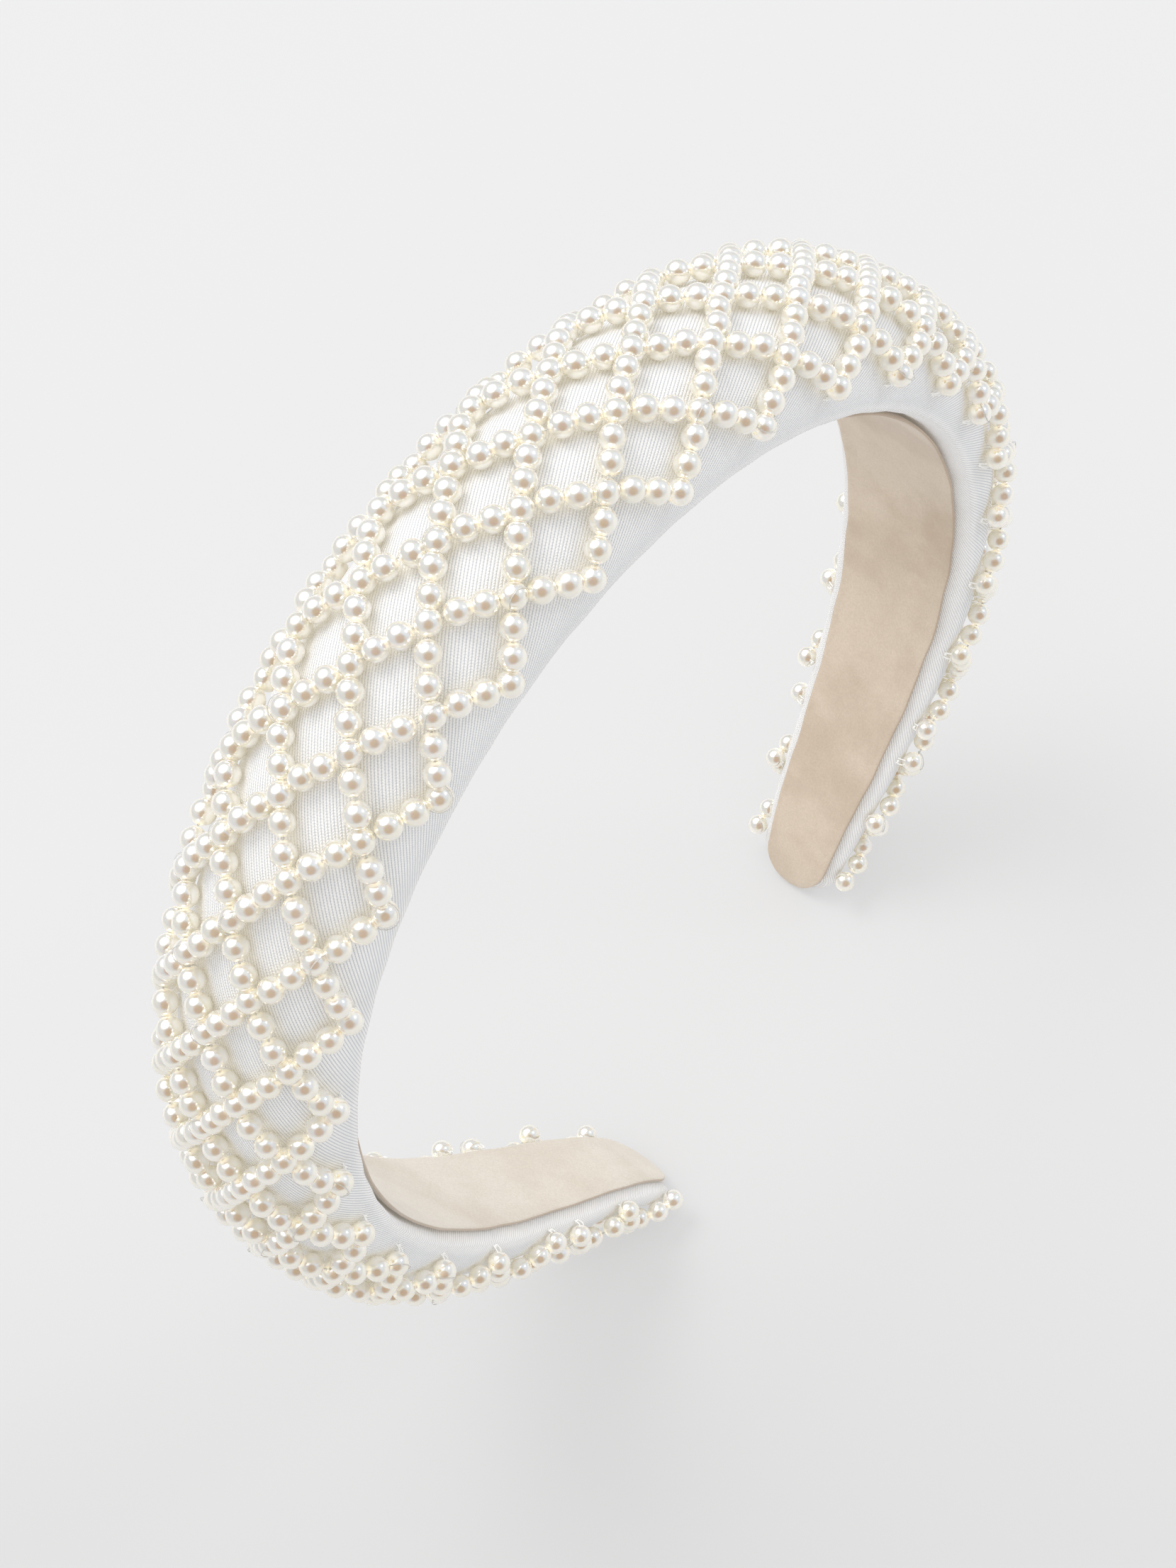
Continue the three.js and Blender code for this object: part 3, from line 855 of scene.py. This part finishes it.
class Nodes:
    """A material's node tree, with short ways to add the nodes used here."""

    def __init__(self, name):
        self.material = bpy.data.materials.new(name)
        self.material.use_nodes = True
        self.tree = self.material.node_tree
        self.shader = self.tree.nodes["Principled BSDF"]

    def link(self, source, socket):
        """Sets a socket to a number or a colour, or joins another node's output to it."""
        if isinstance(source, (int, float)):
            socket.default_value = source
        elif isinstance(source, tuple):
            socket.default_value = (*source, 1.0)[: len(socket.default_value)]
        else:
            self.tree.links.new(source, socket)

    def math(self, operation, *values):
        node = self.tree.nodes.new("ShaderNodeMath")
        node.operation = operation
        for value, socket in zip(values, node.inputs):
            self.link(value, socket)
        return node.outputs[0]

    def add(self, a, b):
        return self.math("ADD", a, b)

    def times(self, a, b):
        return self.math("MULTIPLY", a, b)

    def range(self, value, low, high, start=0.0, finish=1.0):
        """Goes from start to finish as the value goes from low to high, as an S-curve."""
        node = self.tree.nodes.new("ShaderNodeMapRange")
        node.interpolation_type = "SMOOTHSTEP"
        for source, socket in zip((value, low, high, start, finish), node.inputs):
            self.link(source, socket)
        return node.outputs[0]

    def mix(self, share, a, b):
        node = self.tree.nodes.new("ShaderNodeMix")
        node.data_type = "RGBA"
        self.link(share, node.inputs[0])
        self.link(a, node.inputs[6])
        self.link(b, node.inputs[7])
        return node.outputs[2]

    def attribute(self, name, output="Fac"):
        node = self.tree.nodes.new("ShaderNodeAttribute")
        node.attribute_name = name
        return node.outputs[output]

    def split(self, vector):
        node = self.tree.nodes.new("ShaderNodeSeparateXYZ")
        self.link(vector, node.inputs[0])
        return node.outputs

    def place(self):
        return self.tree.nodes.new("ShaderNodeTexCoord").outputs["Object"]

    def noise(self, scale, detail=2.0, rough=0.5):
        node = self.tree.nodes.new("ShaderNodeTexNoise")
        node.inputs["Scale"].default_value = scale
        node.inputs["Detail"].default_value = detail
        node.inputs["Roughness"].default_value = rough
        self.link(self.place(), node.inputs["Vector"])
        return node.outputs[0]

    def cells(self, scale):
        node = self.tree.nodes.new("ShaderNodeTexVoronoi")
        node.inputs["Scale"].default_value = scale
        self.link(self.place(), node.inputs["Vector"])
        return node.outputs["Distance"]

    def bump(self, height, distance, strength=1.0):
        node = self.tree.nodes.new("ShaderNodeBump")
        node.inputs["Strength"].default_value = strength
        node.inputs["Distance"].default_value = distance
        self.link(height, node.inputs["Height"])
        return node.outputs[0]

    def finish(self, **values):
        """Sets the shader's sockets, named as on the shader but in lower case with underscores."""
        for name, value in values.items():
            socket = name.replace("_", " ").title().replace("Ior", "IOR")
            self.link(value, self.shader.inputs[socket])
        return self.material


def knit_material():
    """Fine white jersey: columns of V stitches on the bias, fuzzy yarn, shade in the valleys.

    Beside the pearls it is painted cream, for the light they pass on, and given a painted glow.
    A fainter painted glow lies over the open knit and in the crease along the lining, and painted
    shade darkens it where it turns under.
    """
    valley, ridges, bright_ridges = (0.57, 0.59, 0.64), (0.955, 0.955, 0.95), (0.985, 0.985, 0.98)
    # painted light and shade: cream light from the pearls, and shade where the knit turns under
    painted_pearl_cream, turned_under_shade = (0.97, 0.94, 0.86), (0.60, 0.615, 0.64)
    pearl_light, open_light = (0.165, 0.146, 0.104), (0.035, 0.034, 0.03)
    crease_light = (0.115, 0.105, 0.09)

    n = Nodes("white_jersey")
    wale, course, beside = n.split(n.attribute("cloth", "Vector"))
    turned = n.attribute("turned")
    drift = n.times(n.math("SUBTRACT", n.noise(scale=420), 0.5), 0.35)
    column = n.math("FRACT", n.math("DIVIDE", course, WALE_PITCH))
    off = n.times(n.math("ABSOLUTE", n.math("SUBTRACT", column, 0.5)), 2.0)
    ridge = n.math("SINE", n.times(off, math.pi))
    turn = n.add(n.math("DIVIDE", n.add(wale, drift), COURSE_PITCH), n.times(off, 0.7))
    lobe = n.add(n.times(n.math("COSINE", n.times(turn, 2 * math.pi)), 0.5), 0.5)
    stitch = n.times(ridge, n.add(n.times(lobe, 0.62), 0.38))
    fuzz = n.noise(scale=5200, detail=3, rough=0.6)
    height = n.add(stitch, n.times(fuzz, 0.35))

    uneven = n.range(n.noise(scale=90, detail=3), 0.35, 0.65)
    colour = n.mix(n.range(stitch, 0.02, 0.5), valley, n.mix(uneven, ridges, bright_ridges))
    # painted light: the cream that the pearls pass on to the knit beside them
    colour = n.mix(n.range(beside, 0.0, 2.2, 0.35, 0.0), colour, painted_pearl_cream)
    # painted shade on the underside, where the knit turns in towards the lining
    colour = n.mix(turned, colour, turned_under_shade)
    # painted light: a glow beside the pearls, a faint one over the open knit and one in the crease
    glow = n.mix(n.range(beside, 0.0, 2.6), pearl_light, open_light)
    glow = n.mix(n.range(turned, 0.16, TURNED_SHADE), glow, crease_light)
    return n.finish(base_color=colour, roughness=0.92, normal=n.bump(height, distance=0.00009),
                    sheen_weight=0.12, sheen_roughness=0.5, specular_ior_level=0.2,
                    emission_color=glow, emission_strength=1.0)


def suede_material():
    """Thin tan suede, paler on the left leg: cloudy, with rubbed patches, nap and a cut edge,
    darkened partly in its own colour and partly with painted shade.
    """
    tan, bright_tan = (0.62, 0.515, 0.405), (0.71, 0.605, 0.49)
    beige, bright_beige = (0.70, 0.64, 0.555), (0.765, 0.71, 0.63)
    # the cut edge's colour is partly its own darker colour and partly painted shade
    rubbed, between_fibres, cut_edge_and_shade = (0.50, 0.36, 0.24), (0.30, 0.22, 0.15), (0.42, 0.31, 0.22)

    n = Nodes("tan_suede")
    s, _, across = n.split(n.attribute("strip", "Vector"))
    leg = n.range(s, -60.0, 60.0)
    cloud = n.range(n.noise(scale=75, detail=4, rough=0.6), 0.35, 0.65)
    colour = n.mix(leg, n.mix(cloud, tan, bright_tan), n.mix(cloud, beige, bright_beige))
    patches = n.range(n.noise(scale=42, detail=4, rough=0.65), 0.54, 0.72)
    colour = n.mix(n.times(patches, n.range(leg, 0.0, 1.0, 0.4, 0.15)), colour, rubbed)
    fibre = n.noise(scale=3200, detail=3, rough=0.65)
    colour = n.mix(n.range(fibre, 0.3, 0.7, 0.0, 0.16), colour, between_fibres)
    # the cut edge: partly its own darker colour, partly painted shade
    edge = n.range(n.math("ABSOLUTE", across), 0.975, 0.998)
    colour = n.mix(n.times(edge, 0.55), colour, cut_edge_and_shade)
    nap = n.add(n.times(fibre, 0.6), n.times(n.noise(scale=900, detail=4, rough=0.6), 0.6))
    return n.finish(base_color=colour, roughness=0.95, normal=n.bump(nap, 0.00009, strength=0.8),
                    sheen_weight=0.35, sheen_roughness=0.45, specular_ior_level=0.15)


def pearl_material():
    """Glossy cream imitation pearl: a milky bead under a clear nacre coat, each a shade apart.

    Painted light gathers round the bores, where each pearl touches the next, and a fainter
    painted glow lies over the whole pearl.
    """
    cream, pale_cream = (0.955, 0.922, 0.83), (0.972, 0.948, 0.885)
    swirl_cream = (0.955, 0.905, 0.80)
    milky_light, bore_light = (0.032, 0.029, 0.023), (0.23, 0.211, 0.166)

    n = Nodes("cream_pearl")
    swirl = n.range(n.noise(scale=330, detail=3), 0.35, 0.65)
    colour = n.mix(n.attribute("tone"), cream, pale_cream)
    colour = n.mix(n.times(swirl, 0.35), colour, swirl_cream)
    rough = n.range(n.noise(scale=700), 0.3, 0.7, 0.17, 0.24)
    # painted light: a glow round the bores and a faint one over each whole pearl
    glow = n.mix(n.attribute("bore"), milky_light, bore_light)
    return n.finish(base_color=colour, metallic=0.68, roughness=rough, specular_ior_level=0.6,
                    normal=n.bump(n.noise(scale=1500), distance=0.000004),
                    subsurface_weight=0.6, subsurface_radius=(1.0, 0.85, 0.6),
                    subsurface_scale=0.0008,
                    coat_weight=1.0, coat_roughness=0.05, coat_ior=1.6,
                    emission_color=glow, emission_strength=1.0)


def thread_material():
    """Clear nylon line, faintly cloudy."""
    n = Nodes("clear_line")
    cloudy = n.range(n.noise(scale=900), 0.3, 0.7, 0.12, 0.24)
    colour = n.mix(n.noise(scale=300), (0.86, 0.85, 0.82), (0.93, 0.93, 0.91))
    return n.finish(base_color=colour, roughness=cloudy, transmission_weight=0.5,
                    specular_ior_level=0.6, ior=1.5)


def stitch_material():
    """White cotton sewing thread, with a faint painted glow that lifts the shade on it."""
    n = Nodes("white_cotton")
    colour = n.mix(n.noise(scale=2400), (0.86, 0.86, 0.84), (0.95, 0.95, 0.94))
    # painted light: a faint glow on the thread
    return n.finish(base_color=colour, roughness=0.8, specular_ior_level=0.2, sheen_weight=0.2,
                    emission_color=(0.10, 0.10, 0.098), emission_strength=1.0)


def foam_material():
    """Cream polyurethane foam with open pores, darkened with painted shade."""
    n = Nodes("open_foam")
    pores = n.cells(scale=1900)
    # painted shade in the hollows of the pores
    colour = n.mix(n.range(pores, 0.1, 0.5), (0.55, 0.52, 0.44), (0.80, 0.78, 0.70))
    return n.finish(base_color=colour, roughness=0.95, normal=n.bump(pores, distance=0.0002))


def core_material():
    """Moulded nylon, slightly grained."""
    n = Nodes("moulded_nylon")
    colour = n.mix(n.noise(scale=240), (0.70, 0.69, 0.65), (0.80, 0.79, 0.76))
    grain = n.noise(scale=2600)
    return n.finish(base_color=colour, roughness=n.range(grain, 0.3, 0.7, 0.35, 0.55),
                    normal=n.bump(grain, distance=0.00002))


def floor_material():
    """Smooth pale paper, lit from beneath as well, a little dimmer towards DIM_SIDE."""
    n = Nodes("pale_paper")
    colour = n.mix(n.noise(scale=6), (0.338, 0.338, 0.340), (0.348, 0.349, 0.352))
    x, y, _ = n.split(n.tree.nodes.new("ShaderNodeNewGeometry").outputs["Position"])
    along = n.add(n.times(x, DIM_SIDE[0]), n.times(y, DIM_SIDE[1]))
    glow = n.mix(n.range(along, 0.0, DIM_BY), (0.41, 0.41, 0.411), (0.318, 0.315, 0.315))
    return n.finish(base_color=colour, roughness=0.9, specular_ior_level=0.1,
                    emission_color=glow, emission_strength=1.0)


# ---------------------------------------------------------------- stage


def window(name, toward, distance, width, height, power, colour):
    """A soft rectangular light at some distance from the band, facing it."""
    lamp = bpy.data.lights.new(name, "AREA")
    lamp.shape = "RECTANGLE"
    lamp.size, lamp.size_y = width, height
    lamp.energy = power
    lamp.color = colour
    made = bpy.data.objects.new(name, lamp)
    bpy.context.scene.collection.objects.link(made)
    toward = Vector(toward).normalized()
    made.location = Vector(CAMERA_AIM) * MM + toward * distance
    made.rotation_euler = toward.to_track_quat("Z", "Y").to_euler()


def room():
    """Even pale light from all round, brighter from a large window.

    What glossy surfaces mirror is a greyer room with that window, a warm side and a cool side.
    """
    world = bpy.data.worlds.new("room")
    bpy.context.scene.world = world
    world.use_nodes = True
    nodes, links = world.node_tree.nodes, world.node_tree.links
    background = nodes["Background"]
    direction = nodes.new("ShaderNodeTexCoord").outputs["Generated"]

    def painted(base, patches):
        colour = None
        for side, tint, wide, narrow in patches:
            toward = nodes.new("ShaderNodeVectorMath")
            toward.operation = "DOT_PRODUCT"
            toward.inputs[1].default_value = Vector(side).normalized()
            links.new(direction, toward.inputs[0])
            share = nodes.new("ShaderNodeMapRange")
            share.interpolation_type = "SMOOTHSTEP"
            share.inputs["From Min"].default_value = math.cos(math.radians(wide))
            share.inputs["From Max"].default_value = math.cos(math.radians(narrow))
            links.new(toward.outputs["Value"], share.inputs["Value"])
            mix = nodes.new("ShaderNodeMix")
            mix.data_type = "RGBA"
            mix.inputs[6].default_value = (*base, 1)
            mix.inputs[7].default_value = (*tint, 1)
            links.new(share.outputs[0], mix.inputs[0])
            if colour is not None:
                links.new(colour, mix.inputs[6])
            colour = mix.outputs[2]
        return colour

    lit = painted(ROOM_COLOUR, LIT_PATCHES)
    mirrored = painted(MIRRORED_ROOM, MIRRORED_PATCHES)
    choice = nodes.new("ShaderNodeMix")
    choice.data_type = "RGBA"
    links.new(nodes.new("ShaderNodeLightPath").outputs["Is Glossy Ray"], choice.inputs[0])
    links.new(lit, choice.inputs[6])
    links.new(mirrored, choice.inputs[7])
    links.new(choice.outputs[2], background.inputs["Color"])
    background.inputs["Strength"].default_value = ROOM_STRENGTH


def camera():
    """The photograph's view: from the front left and well above, rolled so that the band leans."""
    angles = (CAMERA_HEADING, CAMERA_ELEVATION, CAMERA_ROLL)
    heading, elevation, roll = (math.radians(angle) for angle in angles)
    level = Vector((math.cos(heading), -math.sin(heading), 0))
    upright = Vector((math.sin(heading) * math.sin(elevation),
                      math.cos(heading) * math.sin(elevation), math.cos(elevation)))
    right = level * math.cos(roll) - upright * math.sin(roll)
    up = upright * math.cos(roll) + level * math.sin(roll)
    back = right.cross(up)
    lens = bpy.data.cameras.new("camera")
    lens.lens = CAMERA_LENS
    made = bpy.data.objects.new("camera", lens)
    bpy.context.scene.collection.objects.link(made)
    turn = Matrix((right, up, back)).transposed().to_4x4()
    place_at = Vector(CAMERA_AIM) * MM + back * CAMERA_DISTANCE * MM
    made.matrix_world = Matrix.Translation(place_at) @ turn
    lens.clip_start, lens.clip_end = 0.01, 20
    bpy.context.scene.camera = made


def floor():
    """The flat surface that the band stands on."""
    steps = np.linspace(-FLOOR_HALF, FLOOR_HALF, FLOOR_LINES)
    x, y = np.meshgrid(steps, steps)
    points = np.stack([x, y, np.zeros(x.shape)], axis=-1).reshape(-1, 3)
    made = mesh_object("floor", points, grid_quads(FLOOR_LINES, FLOOR_LINES))
    made.data.materials.append(floor_material())


# ---------------------------------------------------------------- the headband


def dress(piece, material, *replaced, slot=None):
    """Gives a piece its material, sets it on the frame, and hides the CAD nodes it stands for."""
    piece.data.materials.append(material)
    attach(piece, "root")
    if replaced:
        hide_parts(*replaced)


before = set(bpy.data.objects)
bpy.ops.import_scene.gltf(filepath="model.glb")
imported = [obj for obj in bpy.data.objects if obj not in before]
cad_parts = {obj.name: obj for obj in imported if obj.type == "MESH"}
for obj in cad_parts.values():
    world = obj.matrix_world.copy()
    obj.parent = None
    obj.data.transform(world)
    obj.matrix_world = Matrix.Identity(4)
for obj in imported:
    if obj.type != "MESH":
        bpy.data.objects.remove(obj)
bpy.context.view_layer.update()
bpy.context.scene.view_settings.view_transform = "Standard"

low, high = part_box("suede_lining")
centre = (low + high) / 2 / MM
SHIFT = (centre.x, centre.y)

strands = [strand_beads(number, SHIFT) for number in range(STRANDS)]
centres = [[bead["centre"] for bead in beads] for beads in strands]
net_lines = np.concatenate([smooth_line(line, steps=4) for line in centres])
tacks = tack_points()

dress(foam_filling(SHIFT), foam_material(), "foam_pad", slot="foam")
dress(knit_cover(SHIFT, net_lines, tacks), knit_material(), "knit_cover", slot="knit")
dress(suede_lining(SHIFT), suede_material(), "suede_lining", slot="suede")
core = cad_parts["band_core"]
core.data.materials.clear()
core.data.materials.append(core_material())

pearl, thread = pearl_material(), thread_material()
for number, beads in enumerate(strands, 1):
    dress(pearl_strand(number, beads), pearl, f"pearl_strand_{number}", slot="pearl")
    dress(net_thread(number, beads), thread)
dress(corner_loops(strands), thread)
dress(tack_stitches(tacks, SHIFT), stitch_material())

floor()
room()
window("main_window", WINDOW_SIDE, *MAIN_WINDOW)
window("side_window", SKY_SIDE, *SIDE_WINDOW)
camera()
